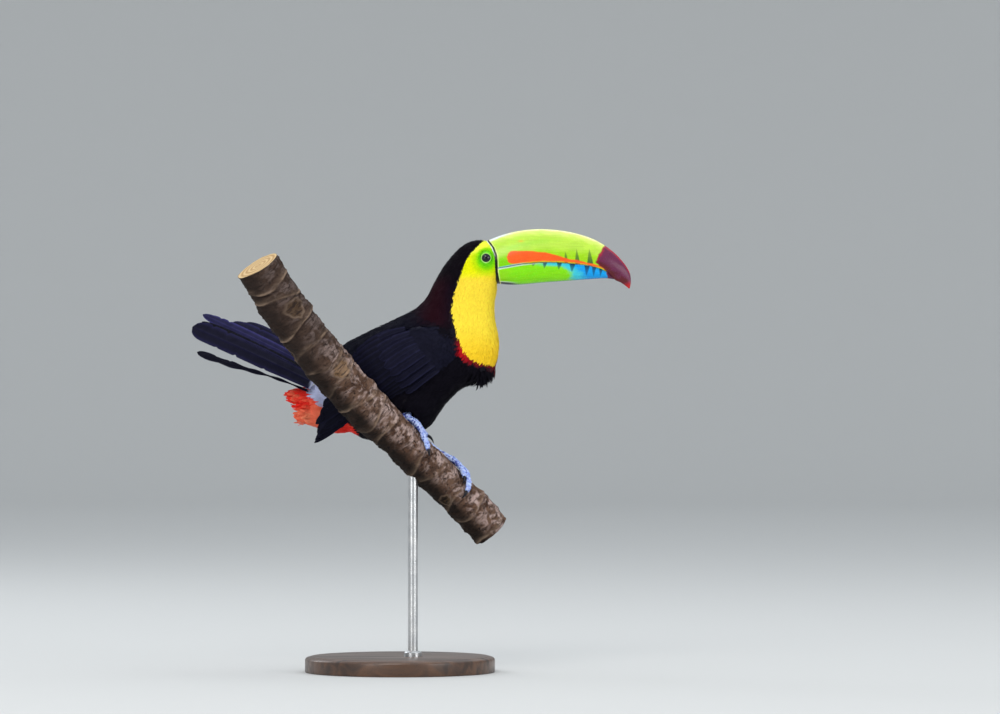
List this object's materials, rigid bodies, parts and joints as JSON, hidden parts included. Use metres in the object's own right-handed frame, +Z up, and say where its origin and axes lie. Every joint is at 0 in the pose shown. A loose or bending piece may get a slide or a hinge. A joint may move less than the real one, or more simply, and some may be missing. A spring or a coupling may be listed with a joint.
{
  "type": "keel-billed toucan",
  "caption": "Life-size toucan with a large curved bill, leaning forward and gripping a slanting cut branch held on a round stand.",
  "frame": {"origin": "centre of the stand base's underside, on the floor", "axes": "+X the way the bird faces, +Y towards the bird's left side, +Z up"},
  "size_m": [0.4417, 0.1908, 0.4431],
  "materials": {
    "face": "short smooth green and yellow plumage with a black crown",
    "bib": "smooth yellow bib feathers with a maroon-black nape",
    "body": "black body plumage, slightly glossy",
    "undertail": "loose red undertail feathers",
    "tail": "blue-black tail feathers",
    "wing": "blue-black wing feathers",
    "bill_upper": "smooth horny bill, green with an orange patch and a dark red tip",
    "bill_lower": "smooth horny bill, green turning blue",
    "eye": "glossy dark eye",
    "foot": "scaly blue skin",
    "claw": "dark horn",
    "bark": "grey-brown bark with ring scars",
    "stand_base": "dark satin wood",
    "stand_rod": "satin steel"
  },
  "bodies": {
    "root": {"head": "face", "neck": "bib", "trunk": "body", "thigh_right": "body", "thigh_left": "body", "undertail": "undertail", "tail": "tail", "wing_right": "wing", "wing_left": "wing", "bill_upper": "bill_upper", "bill_lower": "bill_lower", "eye_right": "eye", "eye_left": "eye", "leg_right": "foot", "leg_left": "foot", "foot_right": "foot", "foot_left": "foot", "perch": "bark", "stand_base": "stand_base", "stand_rod": "stand_rod", "claw_right_1": "claw", "claw_right_2": "claw", "claw_right_3": "claw", "claw_right_4": "claw", "claw_left_1": "claw", "claw_left_2": "claw", "claw_left_3": "claw", "claw_left_4": "claw"}
  },
  "joints": []
}
